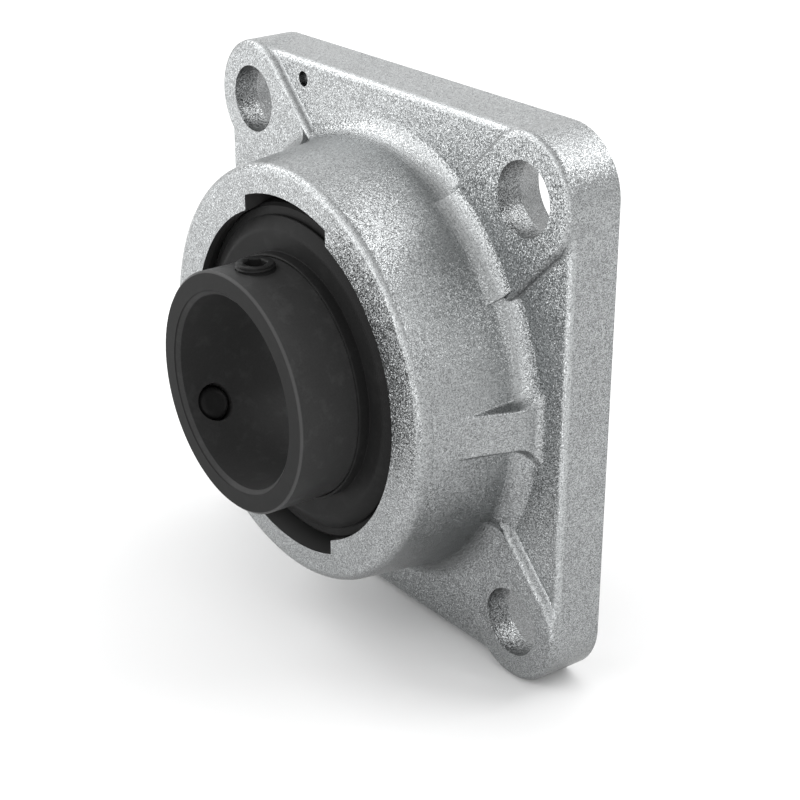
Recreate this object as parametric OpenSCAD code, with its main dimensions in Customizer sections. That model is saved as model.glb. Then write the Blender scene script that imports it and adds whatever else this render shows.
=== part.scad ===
/*
Square flange bearing, millimetres.

A cast square flange with a round hub carries a ball bearing insert in a spherical
seat, so the insert can tilt to follow its shaft. The insert has a long inner ring
with two set screws, a two-piece riveted ball cage, and a shield and a flinger on
each side of the balls.

Every module is drawn with the shaft axis along +Z and the back face of the flange
at height zero. The module on_wall then stands the part upright: the nose of the
bearing points to -Y and twelve o'clock is +Z.
*/

/* [Flange] */
// Side of the square flange at its back face
flange_side = 143; // [138:1:152]
// Distance from the axis of a bolt hole to the sides of the flange
bolt_inset = 16; // [15:0.5:18]
// Diameter of the four bolt holes
bolt_hole_d = 18; // [14:0.5:19]
// How far the wall of a bolt hole flares out towards the back face
hole_flare = 2.6; // [1:0.1:3]
// Depth of that flare
hole_flare_h = 8; // [6:0.5:9]
// Thickness of the flange between its bosses
flange_t = 13; // [11:0.5:14]
// How far the bolt bosses and webs rise above the flange
boss_rise = 2; // [1.4:0.1:3]
// How far the wall of a boss stands in from the corner of the flange
boss_inset = 0.2; // [0.1:0.1:1]
// Taper of the cast outer walls in degrees
draft = 5.7; // [2:0.1:7]
// Radius on the front edge of the flange
flange_edge_r = 1.5; // [0.8:0.1:2]
// Radius on the front edge of the bosses and webs
boss_edge_r = 1.6; // [1:0.1:1.9]
// Fillet at the foot of the bosses and webs
boss_foot_r = 1.2; // [0.8:0.1:2]
// Diameter of the round dimple beside the upper left web
dimple_d = 4; // [2:0.5:5]
// Depth of the dimple
dimple_depth = 3; // [1:0.5:4]
// Distance from the dimple to the left bolt holes' line, towards the middle
dimple_in = 21.3; // [20:0.1:24]
// Distance from the dimple to the top edge of the flange
dimple_down = 6.6; // [5:0.1:8]

/* [Hub] */
// Height of the hub's front face above the back face
hub_h = 43; // [41:0.5:46]
// Wall of the hub's rim outside the loading notches
rim_wall = 7.4; // [6:0.2:9]
// Radius on the hub's front edge
rim_r = 2.2; // [1:0.1:3]
// Fillet where the hub meets the flange and the webs
foot_r = 6; // [4:0.5:7]
// Width of the two loading notches
notch_w = 34.6; // [30:0.2:38]
// Radial room between a loading notch and the ring that passes it
notch_room = 1.8; // [1:0.1:2.4]
// How far the front lip of the bore stands in from the seat
front_lip = 1.9; // [1.5:0.1:2.2]
// How far the rear lip of the bore stands in from the seat
rear_lip = 3; // [2:0.1:3.4]
// Height at which the side pad runs out on the hub
pad_top = 30; // [26:1:34]
// Width of the side pad
pad_w = 10; // [7:0.5:14]
// Slope of the side pad's face in degrees
pad_slope = 18.5; // [14:0.5:21]
// Fillet at the foot of the side pad
pad_foot_r = 3; // [2:0.5:4]

/* [Bearing] */
// Diameter of the shaft bore
shaft_d = 50; // [48:0.5:51]
// Diameter of the outer ring's sphere
outer_d = 90; // [89:0.5:92]
// Height of the ball plane above the back face
ball_plane = 28; // [27:0.5:30]
// Ball diameter as a share of the room between shaft and sphere
ball_share = 0.635; // [0.58:0.005:0.645]
// Number of balls
ball_count = 10;
// Depth of the ball track in each ring as a share of the ball diameter
track_sink = 0.193; // [0.15:0.001:0.22]
// Track radius as a share of the ball diameter
track_share = 0.53; // [0.515:0.005:0.54]
// Inner ring from the ball plane to its long end
nose_len = 32.6; // [31:0.2:36]
// Inner ring from the ball plane to its short end
tail_len = 19; // [17:0.2:22]
// Chamfer at the ends of the shaft bore
bore_chamfer = 1.2; // [0.6:0.1:1.6]
// Chamfer at the outer edges of the inner ring
ring_chamfer = 0.6; // [0.3:0.1:1]

/* [Cage] */
// Thickness of the cage sheet
cage_sheet = 0.9; // [0.6:0.05:1.2]
// Width of the cage ribbon across its radius
cage_band = 4; // [3:0.2:5]
// Diameter of the rivet shanks
rivet_d = 1.5; // [1:0.1:2]
// Diameter of the rivet heads
rivet_head_d = 2.9; // [2.4:0.1:3.4]
// Height of the rivet heads
rivet_head_h = 0.7; // [0.4:0.1:1]

/* [Shields and flingers] */
// Axial room between the cage and each shield
shield_room = 1.4; // [1:0.1:2]
// Thickness of the shield sheet
shield_sheet = 0.8; // [0.5:0.1:1]
// How far a shield is set in from the outer ring's face
shield_depth = 2.2; // [1.6:0.1:2.4]
// Radial step that carries a shield in the outer ring
shield_step = 1.4; // [1:0.1:2]
// Thickness of the flinger sheet
flinger_sheet = 0.8; // [0.5:0.1:0.9]
// How far a flinger's rim stands in from the edge of the outer ring's face
flinger_inset = 2.73; // [2.1:0.01:4]
// Width of a flinger's rim bend
flinger_bend = 3.5; // [2:0.1:5]
// Length of a flinger's collar on the inner ring
flinger_collar = 3.9; // [3:0.1:4.4]
// Rise of a flinger's rim bend above its root
flinger_rise = 0.6; // [0.2:0.1:1]

/* [Set screws] */
// Thread diameter of the set screws
screw_d = 10; // [8:0.5:11]
// How far a set screw stands out of the inner ring
screw_proud = 1.5; // [0.5:0.1:2.5]
// Distance from the long end to the screw axis
screw_setback = 9; // [7:0.2:11]
// Angle between the two set screws
screw_angle = 120; // [60:5:180]
// Width across flats of the hexagon socket
socket_af = 5; // [4:0.5:6]
// Depth of the hexagon socket
socket_depth = 4; // [3:0.2:4.4]

/* [Fits] */
// Radial gap between the outer ring and its seat
seat_gap = 0.06; // [0.04:0.01:0.1]
// Gap between a ball and each track
track_gap = 0.05; // [0.03:0.01:0.08]
// Gap between a ball and its cage pocket
pocket_gap = 0.15; // [0.1:0.01:0.25]
// Radial gap between a shield and the inner ring
shield_gap = 0.6; // [0.4:0.1:1]
// Axial gap between a flinger and the outer ring
flinger_gap = 0.4; // [0.35:0.05:0.6]
// Radial gap of the pressed pieces on their seats
press_gap = 0.02; // [0.01:0.01:0.04]
// Radial gap between a set screw and its hole
screw_gap = 0.05; // [0.03:0.01:0.1]
// Gap between a set screw's tip and the bore surface
tip_gap = 0.2; // [0.1:0.05:0.4]

/* [Hidden] */
// Facets of a full turn on exact and on hulled shapes
$fn = 96;
hull_fn = 48;
// Overlap where one shape is sunk into its neighbour
sink = 0.05;
// Extra length of a cutting shape past the face it opens
past = 1;
taper = tan(draft);

bolt_at = flange_side / 2 - bolt_inset;
corner_r = bolt_inset;
boss_h = flange_t + boss_rise;
boss_r = corner_r - boss_inset;

seat_r = outer_d / 2 + seat_gap;
notch_r = seat_r + notch_room;
hub_r = notch_r + rim_wall;
// Radius of the hub's tapered wall at height h
function hub_wall(h) = hub_r + (hub_h - h) * taper;

ball_d = ball_share * (outer_d - shaft_d) / 2;
ball_r = ball_d / 2;
pitch_r = (shaft_d + outer_d) / 4;
track_r = ball_d * track_share;
track_depth = ball_d * track_sink;
bore_r = shaft_d / 2;
inner_r = pitch_r - ball_r + track_depth;
shoulder_r = pitch_r + ball_r - track_depth;
shield_seat = ball_r + pocket_gap + cage_sheet + shield_room;
outer_half = shield_seat + shield_depth;
face_r = sqrt(outer_d * outer_d / 4 - outer_half * outer_half);
shield_seat_r = shoulder_r + shield_step;
flinger_root = outer_half + flinger_gap + flinger_sheet;
flinger_r = face_r - flinger_inset;

screw_r = screw_d / 2;
screw_at = ball_plane + nose_len - screw_setback;
screw_len = inner_r - bore_r + screw_proud - tip_gap;

SHIELD_PLATING = [0.17, 0.17, 0.18];
PHOSPHATE = [0.11, 0.11, 0.12];
ZINC = [0.74, 0.76, 0.77];
BRIGHT = [0.8, 0.8, 0.82];
CAGE_STEEL = [0.6, 0.58, 0.54];

BALLS = [for (i = [1:ball_count]) str("ball_", i < 10 ? "0" : "", i)];

// Points of an arc from angle a to angle b, for round stretches of a profile
function arc(centre, r, a, b, steps) = [
    for (i = [0:steps])
        let (t = a + (b - a) * i / steps)
        [centre[0] + r * cos(t), centre[1] + r * sin(t)]
];

// Turns a shape drawn along +Z so that its axis points out of a wall, along -Y
module on_wall() {
    rotate([90, 0, 0]) children();
}

// Repeats a shape for each ball, with the first one at twelve o'clock
module per_ball(offset = 0) {
    for (i = [0:ball_count - 1])
        rotate(90 + (i + offset) * 360 / ball_count)
            translate([pitch_r, 0, 0]) children();
}

// Mirrors a shape about the ball plane when side is -1
module facing(side) {
    translate([0, 0, ball_plane])
        mirror([0, 0, side < 0 ? 1 : 0]) children();
}

// One tapered corner of the flange, with its front edge rounded
module corner_post(foot_radius, height, edge_r) {
    top_r = foot_radius - height * taper;
    rotate_extrude($fn = hull_fn)
        polygon(concat(
            [[0, 0], [foot_radius, 0]],
            arc([top_r - edge_r, height - edge_r], edge_r, draft, 90, 5),
            [[0, height]]
        ));
}

// Square block with tapered sides and round corners about the bolt holes
module tapered_square(foot_radius, height, edge_r) {
    hull()
        per_bolt() corner_post(foot_radius, height, edge_r);
}

// Edge of a boss or web: fillet at its foot, then its wall and rounded front edge.
// With top false it stops at the end of the fillet, and with top true it is a web's,
// which ends a hair below the bosses.
function boss_side(inset, top) =
    let (
        edge = [boss_r - inset - boss_edge_r, boss_h - boss_edge_r - (top ? sink : 0)],
        foot_h = flange_t + boss_foot_r - sink,
        meet = asin((foot_h - edge[1]) / (boss_edge_r + boss_foot_r)),
        foot_x = edge[0] + (boss_edge_r + boss_foot_r) * cos(meet),
        step = (90 - meet) / 6
    )
    concat(
        [[foot_x, flange_t / 2]],
        arc([foot_x, foot_h], boss_foot_r, 270, 180 + meet, 5),
        top ? arc(edge, boss_edge_r, meet + step, 90, 5) : []
    );

// Tapered post that carries a bolt boss, with the boss's rounded front edge
module boss_post() {
    rotate_extrude()
        polygon(concat(
            [[0, 0], [corner_r, 0]],
            arc([boss_r - boss_edge_r, boss_h - boss_edge_r], boss_edge_r, 0, 90, 8),
            [[0, boss_h]]
        ));
}

// Fillet round the foot of a bolt boss
module boss_foot() {
    side = boss_side(sink, false);
    rotate_extrude()
        polygon(concat([[0, flange_t / 2]], side, [[0, side[len(side) - 1][1]]]));
}

// Web along one diagonal, from bolt boss to bolt boss
module web(turn) {
    side = boss_side(2 * sink, true);
    other = [for (i = [len(side) - 1:-1:0]) [-side[i][0], side[i][1]]];
    rotate([90, 0, 90 + turn])
        linear_extrude(height = 2 * bolt_at * sqrt(2), center = true)
            polygon(concat(side, other));
}

// Repeats a shape at the four bolt holes
module per_bolt() {
    for (x = [-bolt_at, bolt_at], y = [-bolt_at, bolt_at])
        translate([x, y, 0]) children();
}

// Hub with a tapered wall, a rounded rim and a fillet that ends at height base
module hub(base) {
    wall = sqrt(1 + taper * taper);
    centre_z = base + foot_r - sink;
    centre_r = hub_wall(centre_z) + foot_r * wall;
    rotate_extrude()
        polygon(concat(
            [[0, flange_t / 2], [centre_r, flange_t / 2]],
            arc([centre_r, centre_z], foot_r, 270, 180 + draft, 10),
            arc([hub_r - rim_r, hub_h - rim_r], rim_r, draft, 90, 8),
            [[0, hub_h]]
        ));
}

// Flat bars under the webs, where the hub's fillet stands on the webs
module web_strips() {
    half = boss_r - boss_edge_r - 3 * sink;
    for (turn = [45, 135])
        rotate(turn)
            translate([-flange_side, -half, 0])
                cube([2 * flange_side, 2 * half, hub_h]);
}

// Sloping pad at three o'clock, with a fillet at its foot on three sides
module side_pad() {
    slope = tan(pad_slope);
    half = pad_w / 2;
    low = flange_t / 2;
    centre_z = flange_t + pad_foot_r - sink;
    face_r = hub_wall(pad_top) + (pad_top - centre_z) * slope;
    centre_r = face_r + pad_foot_r * sqrt(1 + slope * slope);
    reach = pad_foot_r + half;
    intersection() {
        rotate([90, 0, 0])
            linear_extrude(height = 2 * reach + 2, center = true)
                polygon(concat(
                    [[seat_r + 1, low], [centre_r, low]],
                    arc([centre_r, centre_z], pad_foot_r, 270, 180 + pad_slope, 6),
                    [[hub_wall(pad_top), pad_top], [seat_r + 1, pad_top]]
                ));
        rotate([90, 0, 90])
            linear_extrude(height = 2 * centre_r)
                polygon(concat(
                    [[-reach, low], [reach, low]],
                    arc([reach, centre_z], pad_foot_r, 270, 180, 6),
                    [[half, pad_top], [-half, pad_top]],
                    arc([-reach, centre_z], pad_foot_r, 0, -90, 6)
                ));
    }
}

// Bolt hole that flares out towards the back face
module bolt_hole() {
    hole_r = bolt_hole_d / 2;
    slope = hole_flare / hole_flare_h;
    translate([0, 0, -past]) cylinder(r = hole_r, h = boss_h + 2 * past);
    translate([0, 0, -past])
        cylinder(r1 = hole_r + hole_flare + past * slope, r2 = hole_r, h = hole_flare_h + past);
}

// What is cut from the casting: seat, lips, loading notches, holes and dimple
module housing_cuts() {
    front_r = seat_r - front_lip;
    rear_r = seat_r - rear_lip;
    translate([0, 0, ball_plane]) sphere(r = seat_r);
    translate([0, 0, ball_plane]) cylinder(r = front_r, h = hub_h);
    translate([0, 0, -past]) cylinder(r = rear_r, h = ball_plane + past);
    translate([0, 0, -past])
        cylinder(r1 = rear_r + bore_chamfer + past, r2 = rear_r, h = bore_chamfer + past);
    intersection() {
        translate([0, 0, ball_plane - notch_room]) cylinder(r = notch_r, h = hub_h);
        translate([-notch_w / 2, -flange_side, 0])
            cube([notch_w, 2 * flange_side, 2 * hub_h]);
    }
    per_bolt() bolt_hole();
    translate([-bolt_at + dimple_in, flange_side / 2 - dimple_down, flange_t - dimple_depth]) {
        translate([0, 0, dimple_d / 2]) sphere(d = dimple_d, $fn = 32);
        translate([0, 0, dimple_d / 2]) cylinder(d = dimple_d, h = dimple_depth, $fn = 32);
    }
}

module housing() {
    color(ZINC) on_wall() difference() {
        union() {
            tapered_square(corner_r, flange_t, flange_edge_r);
            per_bolt() boss_post();
            intersection() {
                tapered_square(corner_r - sink, boss_h + past, boss_edge_r);
                union() {
                    per_bolt() boss_foot();
                    web(45);
                    web(135);
                }
            }
            hub(flange_t);
            intersection() {
                hub(boss_h - sink);
                web_strips();
            }
            side_pad();
        }
        housing_cuts();
    }
}

module outer_ring() {
    ring_r = outer_d / 2;
    bevel = ring_chamfer;
    color(PHOSPHATE) on_wall() translate([0, 0, ball_plane]) rotate_extrude()
        difference() {
            intersection() {
                circle(r = ring_r);
                translate([shoulder_r, -outer_half])
                    square([ring_r, 2 * outer_half]);
            }
            translate([pitch_r + ball_r + track_gap - track_r, 0]) circle(r = track_r);
            for (side = [-1, 1]) {
                edge = side * outer_half;
                inset = side * shield_seat;
                polygon([
                    [0, inset], [shield_seat_r, inset],
                    [shield_seat_r, edge + side], [0, edge + side]
                ]);
                polygon([
                    [face_r - bevel, edge], [face_r + 2 * bevel, edge - 3 * side * bevel],
                    [face_r + 2 * bevel, edge + side], [face_r - bevel, edge + side]
                ]);
            }
        }
}

// Radial hole or screw direction: twelve o'clock, or round by the screw angle
module at_screw(index) {
    translate([0, 0, screw_at])
        rotate(90 + index * screw_angle)
            rotate([0, 90, 0]) children();
}

module inner_ring() {
    long_end = ball_plane + nose_len;
    short_end = ball_plane - tail_len;
    color(PHOSPHATE) on_wall() difference() {
        rotate_extrude() difference() {
            polygon([
                [bore_r, short_end + bore_chamfer], [bore_r + bore_chamfer, short_end],
                [inner_r - ring_chamfer, short_end], [inner_r, short_end + ring_chamfer],
                [inner_r, long_end - ring_chamfer], [inner_r - ring_chamfer, long_end],
                [bore_r + bore_chamfer, long_end], [bore_r, long_end - bore_chamfer]
            ]);
            translate([pitch_r - ball_r - track_gap + track_r, ball_plane])
                circle(r = track_r);
        }
        for (index = [0, 1])
            at_screw(index) cylinder(r = screw_r + screw_gap, h = 2 * inner_r);
    }
}

module ball(number) {
    color(BRIGHT) on_wall() translate([0, 0, ball_plane])
        rotate(90 + (number - 1) * 360 / ball_count)
            translate([pitch_r, 0, 0]) sphere(r = ball_r);
}

// Half of the ribbon cage: a flat ring with a round pocket over every ball
module cage_half(side) {
    pocket_r = ball_r + pocket_gap;
    color(CAGE_STEEL) on_wall() facing(side) difference() {
        intersection() {
            difference() {
                cylinder(r = pitch_r + cage_band / 2, h = ball_d);
                translate([0, 0, -past])
                    cylinder(r = pitch_r - cage_band / 2, h = ball_d + 2 * past);
            }
            union() {
                cylinder(r = pitch_r + cage_band, h = cage_sheet);
                per_ball() sphere(r = pocket_r + cage_sheet);
            }
        }
        per_ball() sphere(r = pocket_r);
        per_ball(0.5)
            translate([0, 0, -past])
                cylinder(d = rivet_d + 2 * press_gap, h = cage_sheet + 2 * past, $fn = 24);
    }
}

// Rivet with two low cone heads, centred on the ball plane
module rivet() {
    head_r = rivet_head_d / 2;
    shank_r = rivet_d / 2;
    rim = rivet_head_h / 3;
    top = cage_sheet + rivet_head_h;
    rotate_extrude($fn = 24)
        polygon([
            [0, -top], [head_r / 2, -top], [head_r, -cage_sheet - rim],
            [head_r, -cage_sheet], [shank_r, -cage_sheet], [shank_r, cage_sheet],
            [head_r, cage_sheet], [head_r, cage_sheet + rim], [head_r / 2, top], [0, top]
        ]);
}

module cage_rivets() {
    color(CAGE_STEEL) on_wall() translate([0, 0, ball_plane])
        per_ball(0.5) rivet();
}

// Flat sheet ring against the step inside the outer ring
module shield(side) {
    color(SHIELD_PLATING) on_wall() facing(side) translate([0, 0, shield_seat])
        difference() {
            cylinder(r = shield_seat_r - press_gap, h = shield_sheet);
            translate([0, 0, -past])
                cylinder(r = inner_r + shield_gap, h = shield_sheet + 2 * past);
        }
}

// Pressed ring on the inner ring: collar, shallow dish and a rim bent to the balls
module flinger(side) {
    root_r = inner_r + press_gap;
    rim = flinger_r;
    bend_r = rim - flinger_bend;
    low = flinger_root;
    bend = low + flinger_rise;
    tip = outer_half + flinger_gap;
    color(PHOSPHATE) on_wall() facing(side) rotate_extrude()
        polygon([
            [root_r, low], [bend_r, bend], [rim - flinger_sheet, tip],
            [rim, tip], [rim, tip + flinger_sheet / 2],
            [bend_r, bend + flinger_sheet],
            [root_r + flinger_sheet, low + flinger_sheet],
            [root_r + flinger_sheet, low + flinger_collar],
            [root_r, low + flinger_collar]
        ]);
}

// Set screw with a chamfered top, a rounded tip and a hexagon socket
module set_screw(index) {
    tip = bore_r + tip_gap;
    top = tip + screw_len;
    bevel = 0.5;
    tip_round = 1.5;
    color(PHOSPHATE) on_wall() at_screw(index) difference() {
        rotate_extrude($fn = 48)
            polygon(concat(
                [[0, tip]],
                arc([screw_r - tip_round, tip + tip_round], tip_round, -90, 0, 5),
                [[screw_r, top - bevel], [screw_r - bevel, top], [0, top]]
            ));
        translate([0, 0, top - socket_depth])
            cylinder(d = socket_af / cos(30), h = socket_depth + past, $fn = 6);
    }
}

module cage_front() cage_half(1);
module cage_rear() cage_half(-1);
module front_shield() shield(1);
module rear_shield() shield(-1);
module front_flinger() flinger(1);
module rear_flinger() flinger(-1);
module set_screw_top() set_screw(0);
module set_screw_side() set_screw(1);

housing();
outer_ring();
inner_ring();
for (number = [1:ball_count])
    ball(number);
cage_front();
cage_rear();
cage_rivets();
front_shield();
rear_shield();
front_flinger();
rear_flinger();
set_screw_top();
set_screw_side();
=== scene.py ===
# %% [markdown]
# A square flange bearing: a cast iron housing with a zinc coat, and a black bearing insert
# that tilts in it. The CAD model already has every solid at its real size, so this script
# loads it as a fixed frame and gives it what a drawing can't hold: the finish of each
# surface, the thread of the set screws, the soft bends of the pressed sheet rings and the
# soft edges of the cast side pad.
# The object stands upright. Its shaft axis runs along Y, the nose points to -Y, and
# twelve o'clock is +Z. All lengths are in metres.

# %% Load the frame
import math

import bmesh
import bpy
import numpy as np
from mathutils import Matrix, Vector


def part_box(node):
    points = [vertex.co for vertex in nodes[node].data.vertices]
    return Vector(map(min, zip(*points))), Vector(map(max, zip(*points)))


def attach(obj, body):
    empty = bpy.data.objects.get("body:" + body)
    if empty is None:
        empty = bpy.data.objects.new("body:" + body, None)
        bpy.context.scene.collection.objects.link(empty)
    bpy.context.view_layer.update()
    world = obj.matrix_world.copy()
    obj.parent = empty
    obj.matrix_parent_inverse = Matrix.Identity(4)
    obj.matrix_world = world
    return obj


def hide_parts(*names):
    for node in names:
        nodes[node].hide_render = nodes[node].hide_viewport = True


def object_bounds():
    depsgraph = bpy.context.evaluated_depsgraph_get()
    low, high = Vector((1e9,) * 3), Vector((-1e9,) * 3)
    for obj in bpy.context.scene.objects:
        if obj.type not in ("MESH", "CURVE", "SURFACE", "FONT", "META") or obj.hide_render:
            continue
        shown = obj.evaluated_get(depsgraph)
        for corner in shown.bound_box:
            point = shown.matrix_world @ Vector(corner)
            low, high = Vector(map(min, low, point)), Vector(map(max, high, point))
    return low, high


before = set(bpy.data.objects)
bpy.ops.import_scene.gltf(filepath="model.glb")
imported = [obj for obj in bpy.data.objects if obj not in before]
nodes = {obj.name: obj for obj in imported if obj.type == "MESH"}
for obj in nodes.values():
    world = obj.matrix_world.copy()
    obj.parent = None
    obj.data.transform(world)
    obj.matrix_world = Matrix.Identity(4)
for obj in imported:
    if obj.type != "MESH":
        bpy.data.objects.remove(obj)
cad_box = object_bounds()
MM = 0.001
print("CAD box in mm:", [[round(v / MM, 2) for v in corner] for corner in cad_box])

# %% [markdown]
# Where a solid's own reach gives a place or a radius, it is measured on the mesh, so that
# the new pieces and the painted borders follow the CAD model if its sizes change. The few
# sizes that a solid's reach doesn't show are written out. They have the names and values
# that the CAD model gives them.

# %% Measure the solids
def corner_points(name):
    """The corner points of a node's mesh, one row each."""
    mesh = nodes[name].data
    points = np.empty(len(mesh.vertices) * 3, np.float32)
    mesh.vertices.foreach_get("co", points)
    return points.reshape(-1, 3)


def reach(name):
    """Largest distance of a node from the shaft axis, and its lowest and highest Y."""
    x, y, z = corner_points(name).T
    return float(np.hypot(x, z).max()), float(y.min()), float(y.max())


NOSE_R, NOSE_END, _ = reach("inner_ring")
HOUSING_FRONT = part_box("housing")[0].y
FLOOR_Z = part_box("housing")[0].z
FLANGE_T = 13 * MM
BOSS_H = 15 * MM
BOLT_AT = 55.5 * MM
FOOT_R = 6 * MM
TAPER = math.tan(math.radians(5.7))
print(f"nose radius {NOSE_R / MM:.2f} mm, housing front at y {HOUSING_FRONT / MM:.2f} mm")

# %% [markdown]
# Shader maths reads best as plain Python. A `Value` wraps the output of a node, and the
# operators on it add Math nodes, so `1 - mask * 0.5` becomes two nodes.

# %% Values that add up to nodes
class Value:
    """The output of a shader node, which can be added, multiplied and shaped."""

    def __init__(self, maker, socket):
        self.maker = maker
        self.socket = socket

    def __add__(self, other):
        return self.maker.calculate("ADD", self, other)

    def __sub__(self, other):
        return self.maker.calculate("SUBTRACT", self, other)

    def __rsub__(self, other):
        return self.maker.calculate("SUBTRACT", other, self)

    def __mul__(self, other):
        return self.maker.calculate("MULTIPLY", self, other)

    def __abs__(self):
        return self.maker.calculate("ABSOLUTE", self)

    __radd__ = __add__
    __rmul__ = __mul__

    def step(self, low, high):
        """0 at low, 1 at high, level beyond both and smooth between. Low may be the larger one."""
        settings = {"interpolation_type": "SMOOTHSTEP"}
        return self.maker.node("ShaderNodeMapRange", settings, {0: self, 1: low, 2: high})


# %% [markdown]
# A node tree could be wired by hand, with a line for each node, each setting and each link.
# One method does all three here: it adds a node, sets what it does and feeds its sockets
# with plain numbers or with other nodes. The world and the materials both have such a tree,
# so the methods that suit both of them are kept apart from those of a finish.

# %% A tree of nodes
class Nodes:
    """A node tree, and the methods that add nodes to it."""

    def __init__(self, tree):
        self.tree = tree

    def node(self, kind, settings, sockets, out=0):
        """Adds a node of this kind, with its settings first and then its sockets."""
        made = self.tree.nodes.new(kind)
        for name, value in settings.items():
            setattr(made, name, value)
        for name, value in sockets.items():
            self.feed(made.inputs[name], value)
        return Value(self, made.outputs[out])

    def feed(self, socket, value):
        """Links a Value to a socket, or sets the socket to a plain number or colour."""
        if isinstance(value, Value):
            self.tree.links.new(value.socket, socket)
        else:
            socket.default_value = value

    def calculate(self, operation, *numbers):
        """The result of an operation on one or two numbers."""
        return self.node("ShaderNodeMath", {"operation": operation}, dict(enumerate(numbers)))

    def vector(self, operation, sockets, out=0):
        """The result of an operation on vectors."""
        return self.node("ShaderNodeVectorMath", {"operation": operation}, sockets, out)

    def split(self, vector):
        """X, Y and Z of a vector."""
        made = self.tree.nodes.new("ShaderNodeSeparateXYZ")
        self.feed(made.inputs[0], vector)
        return [Value(self, part) for part in made.outputs]

    def mix(self, factor, a, b):
        """Colour a where factor is 0, and colour b where it is 1."""
        settings = {"data_type": "RGBA", "clamp_factor": True}
        sockets = {0: factor, 6: a, 7: b}
        return self.node("ShaderNodeMix", settings, sockets, 2)

    def seen_rays(self):
        """1 for rays from the camera and rays that a gloss or a glass sends on."""
        path = self.tree.nodes.new("ShaderNodeLightPath")
        kinds = ("Camera", "Glossy", "Transmission")
        camera, gloss, glass = (Value(self, path.outputs[f"Is {kind} Ray"]) for kind in kinds)
        return camera + gloss + glass


# %% [markdown]
# A `Finish` is one material. It makes the Principled shader, sets what is the same all over
# and has a method for each pattern that the finishes below need. All patterns hang on the
# place on the piece, so no piece needs a UV map or an image.

# %% A finish
class Finish(Nodes):
    """One material: a Principled shader, and the nodes that feed it."""

    def __init__(self, name, **same_all_over):
        self.material = bpy.data.materials.new(name)
        self.material.use_nodes = True
        super().__init__(self.material.node_tree)
        self.shader = self.tree.nodes["Principled BSDF"]
        self.shade(**same_all_over)
        self.place = self.node("ShaderNodeTexCoord", {}, {}, "Object")

    def shade(self, **values):
        """Feeds sockets of the shader, with _ for each space in a socket's name."""
        for socket, value in values.items():
            self.feed(self.shader.inputs[socket.replace("_", " ")], value)

    def axes(self):
        """X, Y and Z of the place on the piece."""
        return self.split(self.place)

    def radius(self):
        """Distance from the shaft axis: the root of x squared plus z squared."""
        x, _, z = self.axes()
        return self.calculate("SQRT", x * x + z * z)

    def noise(self, size, detail=2.0, roughness=0.5):
        """Cloudy noise from 0 to 1 with lumps of about this size, in metres."""
        sockets = {"Vector": self.place, "Scale": 1 / size, "Detail": detail, "Roughness": roughness}
        return self.node("ShaderNodeTexNoise", {}, sockets)

    def rings(self, along, spacing, detail):
        """Noise from 0 to 1 that changes along one number only, such as the radius."""
        sockets = {"W": along * (1 / spacing), "Scale": 1.0, "Detail": detail}
        return self.node("ShaderNodeTexNoise", {"noise_dimensions": "1D"}, sockets)

    def normal(self):
        """The surface's normal, before any bump."""
        return self.node("ShaderNodeNewGeometry", {}, {}, "Normal")

    def facing_up(self):
        """The upward part of the surface's normal: 1 on top, 0 on a wall, -1 underneath."""
        return self.split(self.normal())[2]

    def openness(self, distance):
        """1 where the surface is open, down to 0 in corners that other walls close in on.

        It is the share of directions in which the piece itself isn't met within this distance."""
        settings = {"samples": 8, "only_local": True}
        return self.node("ShaderNodeAmbientOcclusion", settings, {"Distance": distance}, "AO")

    def grains(self, size):
        """A random colour for each grain of about this size, in metres."""
        return self.node("ShaderNodeTexVoronoi", {}, {"Vector": self.place, "Scale": 1 / size}, "Color")

    def lightness(self, grains):
        """One number from 0 to 1 for each grain: the mean of its red, green and blue."""
        return self.vector("DOT_PRODUCT", {0: grains, 1: (1 / 3, 1 / 3, 1 / 3)}, "Value")

    def glints(self, grains, lean):
        """The surface's normal, leant another way on each grain.

        A grain's colour less the mean colour, times lean, is added to the normal, and the
        sum is brought back to length one."""
        off = self.vector("SUBTRACT", {0: grains, 1: (0.5, 0.5, 0.5)})
        off = self.vector("SCALE", {0: off, "Scale": lean})
        leant = self.vector("ADD", {0: self.normal(), 1: off})
        return self.vector("NORMALIZE", {0: leant})

    def bump(self, height, depth, under=None):
        """Bends the surface's normal as if it rose by depth metres where height is 1."""
        sockets = {"Height": height, "Distance": depth, "Strength": 1.0}
        if under is not None:
            sockets["Normal"] = under
        return self.node("ShaderNodeBump", {}, sockets)


def grey(value, cool=0.0):
    """A grey colour, a little bluer than neutral where cool is above 0."""
    return (value * (1 - cool), value, value * (1 + 0.3 * cool), 1.0)


# %% [markdown]
# The housing is sand cast and then coated with zinc. Sand leaves grains of a fifth of a
# millimetre, and on each one the coat leans its own way, so the surface sparkles where the
# surroundings change and looks calm where they are even. A flat grey with a bump can't do
# that: it is either smooth or lumpy. Here every grain is a cell with a random colour, which
# tilts the normal and makes the grain lighter or darker. Lumps and clouds, which are larger
# than grains, change it a little. Corners that other walls close in on get painted shade,
# and so do the undersides.

# %% Grain of the casting, and painted shade in its corners and undersides
GRAIN = 0.2 * MM
LUMP = 1.4 * MM
CLOUD = 14 * MM
CORNER_REACH = 5 * MM
DARK_GRAIN = grey(0.15, 0.03)
LIGHT_GRAIN = grey(0.455, 0.03)
CORNER_SHADE = grey(0.09, 0.02)
UNDERSIDE_SHADE = grey(0.15, 0.02)

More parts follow.
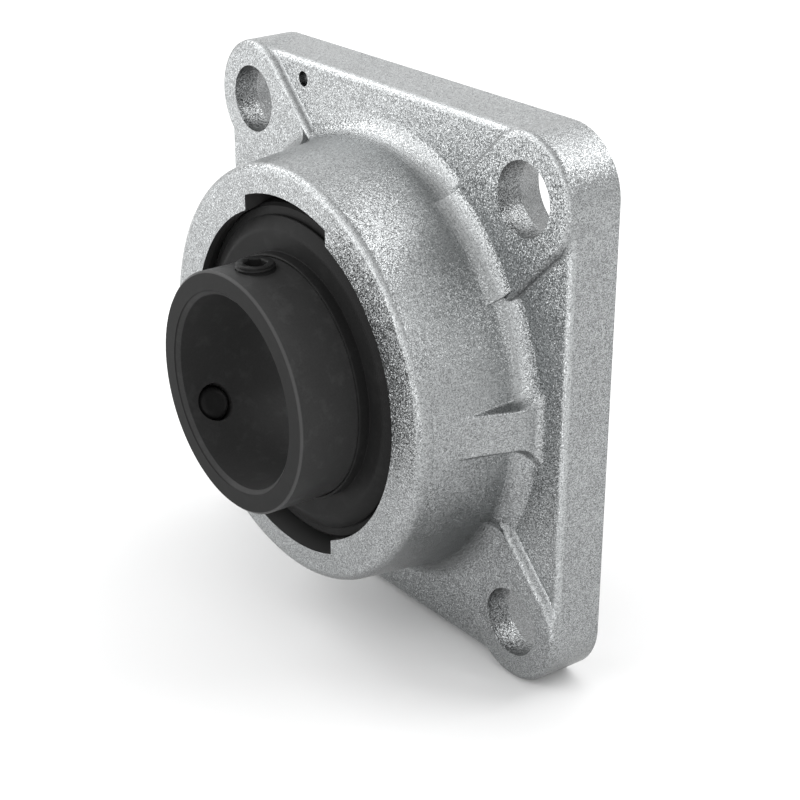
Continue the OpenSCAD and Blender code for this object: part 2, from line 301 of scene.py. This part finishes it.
cast = Finish("zinc_casting", Metallic=1.0)
grains = cast.grains(GRAIN)
grit = cast.lightness(grains)
lumps = cast.noise(LUMP)
clouds = cast.noise(CLOUD)
speck = (grit - 0.5) * 2.0 + (lumps - 0.5) * 0.3 + (clouds - 0.5) * 0.2
zinc = cast.mix(speck + 0.5, DARK_GRAIN, LIGHT_GRAIN)
# Painted shade: corners that other walls close in on are darkened.
zinc = cast.mix(cast.openness(CORNER_REACH).step(0.1, 0.75), CORNER_SHADE, zinc)
# Painted shade: surfaces that face down are darkened.
zinc = cast.mix(cast.facing_up().step(0.0, -0.7) * 0.5, zinc, UNDERSIDE_SHADE)
print("grains across the flange:", round((cad_box[1].x - cad_box[0].x) / GRAIN))

# %% [markdown]
# The long front edges of the flange get a painted highlight: a paler band in the colour. A
# point lies there if the larger of its two distances from the middle is that of the edge, and
# the smaller one isn't that of a corner. The distances stay squared, so that left and right
# need no telling apart.

# %% Painted highlight on the flange's front edges
FLANGE_EDGE = 69 * MM
HIGHLIGHT_HALF = 44 * MM
HIGHLIGHT_FADE = 10 * MM
EDGE_HIGHLIGHT_ZINC = grey(0.6, 0.03)

across_x, depth_y, across_z = cast.axes()
squares = across_x * across_x, across_z * across_z
larger = cast.calculate("MAXIMUM", *squares)
smaller = cast.calculate("MINIMUM", *squares)
edge_highlight = (larger.step((FLANGE_EDGE - 0.6 * MM) ** 2, (FLANGE_EDGE + 0.3 * MM) ** 2)
          * smaller.step((HIGHLIGHT_HALF + HIGHLIGHT_FADE) ** 2, HIGHLIGHT_HALF**2)
          * depth_y.step(1.7 * MM - FLANGE_T, 1.0 * MM - FLANGE_T))
# Painted highlight: the flange's front edges are made paler.
zinc = cast.mix(edge_highlight * (0.05 + grit * 0.55), zinc, EDGE_HIGHLIGHT_ZINC)
print(f"rubbed for {2 * HIGHLIGHT_HALF / MM:.0f} mm of each edge")

# %% [markdown]
# The bolt holes are darkened with painted shade. Their walls could have a material of
# their own, but the faces of a CAD mesh have no names to find them by, so the place decides
# here too. A point is in a hole if it lies behind the bosses' front face and close to one of
# the four bolt axes, which are as far from the middle sideways as they are up and down.

# %% Painted shade in the bolt holes
HOLE_EDGE = 11.7 * MM
HOLE_PAINTED_SHADE = grey(0.04)

beside_x = abs(across_x) - BOLT_AT
beside_z = abs(across_z) - BOLT_AT
from_bolt = beside_x * beside_x + beside_z * beside_z
in_hole = (from_bolt.step((HOLE_EDGE + 0.1 * MM) ** 2, HOLE_EDGE**2)
           * depth_y.step(0.05 * MM - BOSS_H, 0.3 * MM - BOSS_H))
# Painted shade: the walls of the bolt holes are darkened.
zinc = cast.mix(in_hole * 0.3, zinc, HOLE_PAINTED_SHADE)
print(f"bolt axes {2 * BOLT_AT / MM:.0f} mm apart")

# %% [markdown]
# Two places on the casting are cut after it is coated. The back face is turned flat, which
# leaves fine rings round the shaft axis and no grain. The seat and its loading notches are
# bored, and their dark grey is partly the oily bored metal and partly painted shade for the
# deep seat. Both are told apart by where they lie: the back face by its depth, and the seat
# by its distance from the axis.

# %% Machined faces of the casting
SEAT_EDGE = 47.2 * MM
RING_SPACING = 0.5 * MM
GLINT_LEAN = 0.42
BORED_AND_SHADED = grey(0.19)
TURNED_DARK = grey(0.28, 0.02)
TURNED_LIGHT = grey(0.44, 0.02)

from_axis = cast.radius()
in_seat = (from_axis.step(SEAT_EDGE + 0.1 * MM, SEAT_EDGE - 0.2 * MM)
           * depth_y.step(HOUSING_FRONT + 0.05 * MM, HOUSING_FRONT + 0.25 * MM))
on_back = depth_y.step(-0.12 * MM, -0.06 * MM)
rough_cast = (1 - on_back) * (1 - in_seat)
tool_marks = cast.rings(from_axis, RING_SPACING, 2.0)
faced = cast.mix(tool_marks * 0.8 + clouds * 0.2, TURNED_DARK, TURNED_LIGHT)
glinting = cast.glints(grains, rough_cast * GLINT_LEAN)
# The seat's dark grey is partly the bored metal's own and partly painted shade.
cast.shade(
    Base_Color=cast.mix(in_seat, cast.mix(on_back, zinc, faced), BORED_AND_SHADED),
    Roughness=0.3 + in_seat * 0.2,
    Normal=cast.bump(lumps * rough_cast + tool_marks * on_back, 0.03 * MM, glinting),
)
print("seat painted up to", round(SEAT_EDGE / MM, 1), "mm from the axis")

# %% [markdown]
# The insert is ground steel with a black phosphate coat, which is nearly black and satin.
# Handling leaves paler patches on it and turning leaves faint rings. The end face gets painted
# shade and its sharp outer edge a painted highlight. The coat swallows most of the light that
# falls on it, so its shine is weak, and a low index of refraction gives that.

# %% Black phosphate coat
COAT_MOTTLE = 0.5 * MM
COAT_PATCH = 5 * MM
COAT_CLOUD = 9 * MM


def black_coat(name, shade, roughness, mark_size):
    """Black phosphate coat over steel, with turning marks round the shaft axis."""
    coat = Finish(name, Metallic=0.0, IOR=1.13)
    mottle = coat.noise(COAT_MOTTLE)
    haze = coat.noise(COAT_CLOUD)
    patches = coat.noise(COAT_PATCH, detail=5.0, roughness=0.65).step(0.5, 0.66)
    _, y, _ = coat.axes()
    r = coat.radius()
    marks = coat.rings(r + y, mark_size, 1.0)
    black = coat.mix(mottle * 0.6 + haze * 0.4, grey(shade * 0.75), grey(shade * 1.2))
    black = coat.mix(patches * 0.25, black, grey(shade * 1.8))
    # Painted shade: the end face is darkened.
    end_face_shade = y.step(NOSE_END + 0.4 * MM, NOSE_END + 0.1 * MM)
    black = coat.mix(end_face_shade * 0.8, black, grey(shade * 0.2))
    # Painted highlight: the outer edge of the nose is made paler.
    edge = (y.step(NOSE_END + 0.9 * MM, NOSE_END + 0.6 * MM)
            * r.step(NOSE_R - 0.7 * MM, NOSE_R - 0.4 * MM))
    coat.shade(
        Base_Color=coat.mix(edge * 0.7, black, grey(shade * 1.8)),
        Roughness=roughness + (mottle - 0.5) * 0.12 + (haze - 0.5) * 0.08,
        Normal=coat.bump(marks * 0.6 + mottle * 0.4, 0.004 * MM),
    )
    return coat.material


inner_coat = black_coat("phosphated_steel", 0.038, 0.36, 0.12 * MM)
# Painted shade: the outer ring sits deep in the seat and gets a darker copy of the coat.
seat_shaded_coat = black_coat("phosphated_steel_with_seat_shade", 0.014, 0.42, 0.12 * MM)
sheet_coat = black_coat("phosphated_sheet", 0.016, 0.4, 0.3 * MM)
screw_coat = black_coat("black_screw", 0.018, 0.3, 0.2 * MM)
print("ground end face at y", round(NOSE_END / MM, 2), "mm")

# %% [markdown]
# The balls and their cage are bare steel. They are sealed between the rings and don't show,
# so a plain metal with faint scratches is enough. Each solid then gets the finish whose
# name is part of its own.

# %% Bare steel, and a finish for every solid
def bright_steel(name, shade, roughness, size):
    """Bare steel: a metal with fine, faint scratches and clouds in its gloss."""
    steel = Finish(name, Metallic=1.0)
    fine = steel.noise(size, detail=3.0)
    steel.shade(
        Base_Color=steel.mix(fine, grey(shade * 0.92), grey(shade * 1.05)),
        Roughness=roughness + (fine - 0.5) * 0.12,
        Normal=steel.bump(fine, 0.002 * MM),
    )
    return steel.material


FINISHES = {
    "housing": cast.material,
    "outer_ring": seat_shaded_coat,
    "inner_ring": inner_coat,
    "flinger": sheet_coat,
    "shield": sheet_coat,
    "cage": bright_steel("cage_sheet", 0.45, 0.35, 0.3 * MM),
    "ball": bright_steel("ball_steel", 0.75, 0.08, 0.8 * MM),
    "screw": screw_coat,
}
for name, piece in nodes.items():
    kind = next(k for k in FINISHES if k in name)
    for i in range(len(piece.data.materials)):
        piece.data.materials[i] = FINISHES[kind]
print("finishes:", sorted(m.name for m in bpy.data.materials))

# %% [markdown]
# Every new piece is a grid of points. Turning a line of points round an axis gives such a
# grid, and so does a formula with two numbers in it, so one way serves the sheet rings, the
# threads and the pad, where Blender's own tools would need a different one for each. The
# whole grid is worked out at once with numpy, and neighbouring points are joined by
# four-sided faces. Points that coincide are merged, which closes a piece where its rows
# meet or shrink to a point.

# %% Turn a grid of points into a piece
SHARP_EDGE = math.radians(32)


def grid_piece(name, points, body, material):
    """Piece from points[row, column], closed round the columns, with a ring of faces per row."""
    rows, columns, _ = points.shape
    index = np.arange(rows * columns).reshape(rows, columns)
    right = np.roll(index, -1, axis=1)
    faces = np.stack([index[:-1], right[:-1], right[1:], index[1:]], axis=-1).reshape(-1, 4)
    mesh = bpy.data.meshes.new(name)
    mesh.vertices.add(rows * columns)
    mesh.vertices.foreach_set("co", points.astype(np.float32).ravel())
    mesh.loops.add(faces.size)
    mesh.loops.foreach_set("vertex_index", faces.ravel().astype(np.int32))
    mesh.polygons.add(len(faces))
    mesh.polygons.foreach_set("loop_start", np.arange(0, faces.size, 4, dtype=np.int32))
    mesh.update(calc_edges=True)
    mesh.validate()
    close_and_orient(mesh)
    mesh.materials.append(material)
    piece = bpy.data.objects.new(name, mesh)
    bpy.context.scene.collection.objects.link(piece)
    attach(piece, body)
    print(name, "has", len(mesh.polygons), "faces")
    return piece


def close_and_orient(mesh):
    """Merges points that coincide, turns every face outwards and shades the piece smooth."""
    work = bmesh.new()
    work.from_mesh(mesh)
    bmesh.ops.remove_doubles(work, verts=work.verts, dist=1e-7)
    bmesh.ops.recalc_face_normals(work, faces=work.faces)
    for face in work.faces:
        face.smooth = True
    for edge in work.edges:
        edge.smooth = edge.calc_face_angle(0) < SHARP_EDGE
    work.to_mesh(mesh)
    work.free()


def lathe(profile, columns):
    """Turns points of (radius, height) round the Y axis: x = r cos a, y = height, z = r sin a."""
    a = np.linspace(0, 2 * math.pi, columns, endpoint=False)
    r, h = profile[:, :1], profile[:, 1:]
    return np.stack([r * np.cos(a), h + 0 * a, r * np.sin(a)], axis=-1)


# %% [markdown]
# A flinger is pressed from sheet, so its bends are soft. Its CAD solid is the same shape
# with straight lines. A bevel on that mesh would have to find the right edges first, so a
# new piece takes its place: the corner points of the sheet's middle line, rounded by arcs,
# and then given the sheet's thickness.

# %% Lines with round corners, and their thickness
def rounded(corners, radii, steps=10):
    """Line through corners, with an arc in place of each one between the first and the last.

    An arc is tangent to both sides. Seen from its centre, its points are as many equal angles
    apart: (sin((1 - t) span) first + sin(t span) last) / sin(span), for t from 0 to 1."""
    line = [corners[0]]
    for before, corner, after, r in zip(corners[:-2], corners[1:-1], corners[2:], radii):
        u = (before - corner) / np.linalg.norm(before - corner)
        v = (after - corner) / np.linalg.norm(after - corner)
        half = math.acos(np.clip(u @ v, -1, 1)) / 2
        bisector = (u + v) / np.linalg.norm(u + v)
        centre = corner + bisector * r / math.sin(half)
        first = corner + u * r / math.tan(half) - centre
        last = corner + v * r / math.tan(half) - centre
        t = np.linspace(0, 1, steps)[:, None]
        span = math.acos(np.clip(first @ last / r**2, -1, 1))
        arc = np.sin((1 - t) * span) * first + np.sin(t * span) * last
        line += list(centre + arc / math.sin(span))
    return np.array(line + [corners[-1]])


def thick_profile(middle, thickness):
    """Closed outline at half the thickness on both sides of a line, with round ends."""
    along = np.gradient(middle, axis=0)
    along /= np.linalg.norm(along, axis=1)[:, None]
    side = np.stack([-along[:, 1], along[:, 0]], axis=1) * thickness / 2
    turn = np.linspace(0, math.pi, 7)[1:-1, None]
    start = middle[0] + np.cos(turn) * -side[0] - np.sin(turn) * along[0] * thickness / 2
    end = middle[-1] + np.cos(turn) * side[-1] + np.sin(turn) * along[-1] * thickness / 2
    return np.concatenate([middle + side, end, (middle - side)[::-1], start, middle[:1] + side[:1]])


# %% Flingers with soft bends
SHEET = 0.8 * MM
PRESS_GAP = 0.02 * MM
BEND_RADII = (0.55 * MM, 2.2 * MM)
AROUND = 160


def flinger_line(rim_r, near, far, side):
    """Middle line of a flinger's sheet: collar, shallow dish, and a rim bent to the balls.

    Near is the height of the solid's side towards the balls, and far that of its other end,
    where the collar stops. The corner points are set off from near and from the solid's rim
    by so many thicknesses of the sheet."""
    collar_r = NOSE_R + PRESS_GAP + SHEET / 2
    line = rounded(np.array([
        [collar_r, far],
        [collar_r, near + side * 1.5 * SHEET],
        [rim_r - 4.4 * SHEET, near + side * 2.25 * SHEET],
        [rim_r - 0.55 * SHEET, near + side * 0.4 * SHEET],
    ]), BEND_RADII)
    line[0, 1] -= side * SHEET / 2
    return line


for side, name in ((-1, "front_flinger"), (1, "rear_flinger")):
    rim_r, low_y, high_y = reach(name)
    near, far = (low_y, high_y) if side > 0 else (high_y, low_y)
    outline = thick_profile(flinger_line(rim_r, near, far, side), SHEET)
    points = lathe(outline, AROUND)
    flinger = grid_piece(name + "_pressed", points, "inner", sheet_coat)
    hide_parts(name)

# %% [markdown]
# The two set screws have a fine thread of one millimetre pitch. A thread is a groove that
# climbs as it goes round. It could be cut out of a cylinder with a coil, but then the cut
# has to come out clean. As a grid it needs no cut: the radius depends on the height and the
# angle together. The socket uses the same grid, and its radius is that of a hexagon.

# %% Tip and thread
PITCH = 1.0 * MM
THREAD_DEPTH = 0.5 * MM
THREAD_WAVE = 1.5
DOME_R = 2.0 * MM
TIP_CHAMFER = 0.45 * MM
TIP_STEEPNESS = 1.5
TOP_CHAMFER = 0.5 * MM


def screw_tip(a, tip, crest):
    """Radius and height of the tip: a flat middle, and a round shoulder as a quarter circle."""
    flat_r = crest - THREAD_DEPTH - DOME_R
    tip_r = flat_r * np.linspace(0, 1, 4)[:-1, None] + 0 * a
    dome = np.linspace(0, math.pi / 2, 12)[:, None]
    dome_r = flat_r + DOME_R * np.sin(dome) + 0 * a
    dome_h = tip + DOME_R * (1 - np.cos(dome)) + 0 * a
    return np.concatenate([tip_r, dome_r]), np.concatenate([np.full_like(tip_r, tip), dome_h])


def screw_side(a, tip, top, crest):
    """Radius and height of the threaded side.

    The radius is the crest less a triangle wave of height minus angle. The wave is higher
    than the thread is deep, and its points are cut off. The radius is never more than the
    chamfers at both ends allow."""
    height = np.linspace(tip + DOME_R + 0.05 * MM, top - 0.02 * MM, 110)[:, None] + 0 * a
    turn = (height / PITCH - a / (2 * math.pi)) % 1.0
    groove = np.clip((1 + THREAD_WAVE) / 2 - np.abs(2 * turn - 1) * THREAD_WAVE, 0, 1)
    at_tip = (height - tip - DOME_R) * TIP_STEEPNESS - TIP_CHAMFER
    at_top = top - height - TOP_CHAMFER
    return crest + np.minimum(-THREAD_DEPTH * groove, np.minimum(at_tip, at_top)), height


# %% Socket
SOCKET_FLATS = 5 * MM
SOCKET_WALL = 3.2 * MM
MOUTH = 0.25 * MM
MOUTH_ROUND = 1.12
END_FACE_IN = 0.6 * MM


def screw_socket(a, top, crest):
    """Radius and height of the end face, the socket's chamfered mouth, its walls and floor.

    A wall's distance is half the width across flats over the cosine of the angle from the
    middle of the nearest flat. The mouth is round except at the hexagon's corners, and the
    floor falls towards the middle, as a drill leaves it."""
    hexagon = SOCKET_FLATS / 2 / np.cos((a + math.pi / 6) % (math.pi / 3) - math.pi / 6)
    rim = np.full_like(hexagon, crest - END_FACE_IN)
    mouth = np.maximum(hexagon, SOCKET_FLATS / 2 * MOUTH_ROUND) + MOUTH
    radius = [rim, mouth, hexagon, hexagon, hexagon, hexagon * 0.5, hexagon * 0]
    depth = [0, 0, MOUTH, 0.6 * MM, SOCKET_WALL, SOCKET_WALL + 0.4 * MM, SOCKET_WALL + 0.9 * MM]
    return np.concatenate(radius), top - np.array(depth)[:, None] + 0 * a


# %% Both set screws
def set_screw(name, body, clock_angle, columns=120):
    """Set screw whose axis points away from the shaft at this angle from three o'clock."""
    out = np.array([math.cos(clock_angle), 0, math.sin(clock_angle)])
    across = np.array([-math.sin(clock_angle), 0, math.cos(clock_angle)])
    corners = corner_points(name)
    heights = corners @ out
    tip, top = heights.min(), heights.max()
    low_y, high_y = corners[:, 1].min(), corners[:, 1].max()
    crest = (high_y - low_y) / 2
    a = np.linspace(0, 2 * math.pi, columns, endpoint=False)[None, :]
    parts = [screw_tip(a, tip, crest), screw_side(a, tip, top, crest), screw_socket(a, top, crest)]
    r, h = (np.concatenate(column) for column in zip(*parts))
    points = (h[..., None] * out + (r * np.cos(a))[..., None] * np.array([0, 1, 0])
              + (r * np.sin(a))[..., None] * across)
    points[..., 1] += (low_y + high_y) / 2
    screw = grid_piece(name + "_threaded", points, body, screw_coat)
    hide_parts(name)


set_screw("set_screw_top", "top_screw", math.radians(90))
set_screw("set_screw_side", "side_screw", math.radians(210))

# %% [markdown]
# The side pad is a block with flat faces in the CAD model. Moulding sand doesn't hold such
# corners: on the real casting the pad swells out of the hub without a line, and its sides
# flare towards the flange. Pulling points of the housing's mesh would do it too, but the CAD
# meshes stay as they are, so a thin skin lies over the solid pad. At each place its X is the
# larger of two, the hub wall's and the pad face's, blended where they come close to each
# other. The pad face is a little steeper and wider here than on the solid, as in the photo,
# so that it covers it. At its edges the skin sinks into the hub and leaves no seam.

# %% Sizes of the pad and its skin
HUB_R = 54.26 * MM
PAD_TOP = 30 * MM
PAD_HALF = 5.3 * MM
PAD_SLOPE = math.tan(math.radians(20.5))
PAD_FOOT_R = 2 * MM
PAD_SIDE_R = 5 * MM
PAD_SIDE_STEEPNESS = 4.0
PAD_EDGE_R = 0.2 * MM
BLEND = 1.2 * MM
BLEND_GROWTH = 0.1
SKIN_START = FLANGE_T - 0.5 * MM
SKIN_END = 39.5 * MM
SKIN_MARGIN = 4.5 * MM
FADE_TO_SIDE = 0.8 * SKIN_MARGIN
FADE_TO_END = 6 * MM
SKIN_SINKS = 0.12 * MM
SKIN_LIFT = 0.03 * MM
SKIN_DEPTH = 0.8 * MM
print(f"skin from {SKIN_START / MM:.1f} to {SKIN_END / MM:.1f} mm above the back face")


# %% Walls with a foot, and soft changes
def wall_with_foot(height, slope, wall_r, foot_r):
    """Distance from the axis of a sloping wall at each height, with a fillet at its foot.

    The wall's distance is wall_r at height 0 and falls by slope for each unit of height. Below
    the fillet's end it is the fillet's centre less the root of foot_r squared minus the drop
    from the centre squared."""
    centre_h = FLANGE_T + foot_r
    centre_r = wall_r - centre_h * slope + foot_r * math.hypot(1, slope)
    drop = np.clip(centre_h - height, -foot_r, foot_r)
    fillet = centre_r - np.sqrt(foot_r**2 - drop**2)
    below = height < centre_h - foot_r * slope / math.hypot(1, slope)
    return np.where(below, fillet, wall_r - height * slope)


def blend(a, b, width):
    """The larger of two distances, raised by a fourth of width where they are equal."""
    near = np.clip(1 - np.abs(a - b) / width, 0, 1)
    return np.maximum(a, b) + near**2 * width / 4


def smooth(t):
    """0 up to t = 0, 1 from t = 1, and between them three t squared less two t cubed."""
    t = np.clip(t, 0, 1)
    return t**2 * (3 - 2 * t)


# %% Soft skin over the side pad
def skin_heights(rows_in_foot, rows_above):
    """Heights above the back face, close together where the hub's foot bends."""
    turn = np.linspace(0, math.pi / 2, rows_in_foot, endpoint=False)
    in_foot = FLANGE_T + FOOT_R * (1 - np.cos(turn))
    above = np.linspace(FLANGE_T + FOOT_R, SKIN_END, rows_above)
    return np.concatenate([[SKIN_START], in_foot, above])[:, None]


def pad_skin(rows_in_foot=30, rows_above=56, columns=110):
    """Closed grid of points: the skin's outer side, and its inner side inside the casting.

    Past a side of the pad the pad's distance falls steeply. The rounded number past_side is
    half of past plus the root of past squared plus the edge's radius squared. The first and
    the last row are each drawn to their middle, which closes the ends."""
    height = skin_heights(rows_in_foot, rows_above)
    in_flare = np.clip(FLANGE_T + PAD_SIDE_R - height, 0, PAD_SIDE_R)
    half = PAD_HALF + PAD_SIDE_R - np.sqrt(PAD_SIDE_R**2 - in_flare**2)
    across = np.linspace(-1, 1, columns)[None, :] * (half + SKIN_MARGIN)
    past = np.abs(across) - half
    past_side = (past + np.sqrt(past**2 + PAD_EDGE_R**2)) / 2
    hub_wall_r = HUB_R - HOUSING_FRONT * TAPER
    pad_wall_r = hub_wall_r + PAD_TOP * (PAD_SLOPE - TAPER)
    hub = np.sqrt(wall_with_foot(height, TAPER, hub_wall_r, FOOT_R) ** 2 - across**2)
    pad = wall_with_foot(height, PAD_SLOPE, pad_wall_r, PAD_FOOT_R) - past_side * PAD_SIDE_STEEPNESS
    raised = blend(hub, pad, BLEND + (PAD_TOP - np.minimum(height, PAD_TOP)) * BLEND_GROWTH)
    from_side = smooth((SKIN_MARGIN - past) / FADE_TO_SIDE)
    from_end = smooth((SKIN_END - height) / FADE_TO_END)
    outer = hub - SKIN_SINKS + from_side * from_end * (raised - hub + SKIN_SINKS + SKIN_LIFT)
    inner = outer - SKIN_DEPTH
    x = np.concatenate([outer, inner[:, -2:0:-1]], axis=1)
    z = np.concatenate([across, across[:, -2:0:-1]], axis=1)
    sides = np.stack([x, -height + 0 * x, z], axis=-1)
    ends = sides[[0, -1]].mean(axis=1, keepdims=True) + 0 * sides[[0, -1]]
    return np.concatenate([ends[:1], sides, ends[1:]])


grid_piece("side_pad_skin", pad_skin(), "housing", cast.material)

# %% [markdown]
# The camera stands where the photograph was taken from. Its direction, distance and lens
# come from fitting the bolt holes, the hub and the flange's edges to the picture.

# %% Camera
AZIMUTH = math.radians(52.507)
ELEVATION = math.radians(24.425)
CAMERA_PLACE = (0.34144, -0.26937, 0.17914)
FOCAL_LENGTH = 79.5
SENSOR_WIDTH = 36

lens = bpy.data.cameras.new("camera")
lens.lens = FOCAL_LENGTH
lens.sensor_width = SENSOR_WIDTH
lens.clip_start = 0.01
camera = bpy.data.objects.new("camera", lens)
bpy.context.scene.collection.objects.link(camera)
camera.location = CAMERA_PLACE
camera.rotation_euler = (math.pi / 2 - ELEVATION, 0, AZIMUTH)
bpy.context.scene.camera = camera
print(f"camera {math.degrees(AZIMUTH):.1f} degrees round and {math.degrees(ELEVATION):.1f} up")

# %% [markdown]
# The stage is a pale floor that runs out of sight under a white background. Close to the
# object the floor shows only the light that falls on it, so the shadow is a real one.
# Further out, where the lamps fade, a glow takes over that the camera and reflections see
# and that lights nothing, so the floor stays white to its far edge.

# %% Floor
FLOOR_HALF = 3.0
GLOW_STARTS = 0.1
GLOW_FULL = 1.2
GLOW = grey(0.4)
FLOOR_SHADE = grey(0.86)
NO_LIGHT = grey(0.0)

signs = ((-1, -1), (1, -1), (1, 1), (-1, 1))
floor_corners = [(sx * FLOOR_HALF, sy * FLOOR_HALF, FLOOR_Z) for sx, sy in signs]
floor_mesh = bpy.data.meshes.new("floor")
floor_mesh.from_pydata(floor_corners, [], [(0, 1, 2, 3)])
floor = bpy.data.objects.new("floor", floor_mesh)
bpy.context.scene.collection.objects.link(floor)
pale = Finish("pale_floor", Roughness=0.9, Emission_Strength=1.0)
from_middle = pale.vector("LENGTH", {0: pale.place}, "Value")
glow = pale.mix(from_middle.step(GLOW_STARTS, GLOW_FULL), NO_LIGHT, GLOW)
pale.shade(Base_Color=FLOOR_SHADE, Emission_Color=pale.mix(pale.seen_rays(), NO_LIGHT, glow))
floor_mesh.materials.append(pale.material)
print("floor at", round(FLOOR_Z / MM, 2), "mm")

# %% [markdown]
# Metal shows its surroundings, so the lamps are placed by what each face mirrors towards
# the camera. A wide lamp low on the left brightens the front faces, one behind on the right
# lights the rim and the upper right corner, and one close to the floor draws the thin
# lines along the fillets. The others fill in. The rest of what the metal mirrors is the
# white background. Dull surfaces get a little less light from it than the camera sees, so
# that the lamps shape them.

# %% Lamps and background
SKY_SEEN = grey(1.0)
SKY_LIGHT = grey(0.75)
AIM = (cad_box[0] + cad_box[1]) / 2
LAMPS = [
    # name, place in metres, width, height, watts
    ("front_left", (-0.45, -0.85, 0.18), 1.1, 0.7, 5.2),
    ("front_high", (0.05, -0.75, 0.65), 0.4, 0.3, 0.9),
    ("low_right", (0.55, -0.75, 0.03), 0.5, 0.2, 1.0),
    ("right_high", (0.95, 0.05, 0.6), 0.5, 0.5, 1.6),
    ("back_right", (0.45, 0.6, 0.75), 0.45, 0.45, 3.0),
    ("back_high", (0.0, 0.55, 0.92), 0.6, 0.5, 2.2),
    ("back_left", (-0.86, 0.55, 0.62), 0.9, 0.6, 1.1),
    ("left_high", (-0.85, -0.35, 0.75), 0.6, 0.6, 5.0),
]
for name, place, width, height, watts in LAMPS:
    light = bpy.data.lights.new(name, "AREA")
    light.shape = "RECTANGLE"
    light.size = width
    light.size_y = height
    light.energy = watts
    lamp = bpy.data.objects.new(name, light)
    bpy.context.scene.collection.objects.link(lamp)
    lamp.location = place
    lamp.rotation_euler = (lamp.location - AIM).to_track_quat("Z", "Y").to_euler()

studio = bpy.data.worlds.new("studio")
bpy.context.scene.world = studio
studio.use_nodes = True
sky = Nodes(studio.node_tree)
sky_colour = sky.mix(sky.seen_rays(), SKY_LIGHT, SKY_SEEN)
sky.feed(sky.tree.nodes["Background"].inputs["Color"], sky_colour)
bpy.context.scene.view_settings.view_transform = "Standard"
print(len(LAMPS), "lamps,", sum(row[-1] for row in LAMPS), "watts in all")
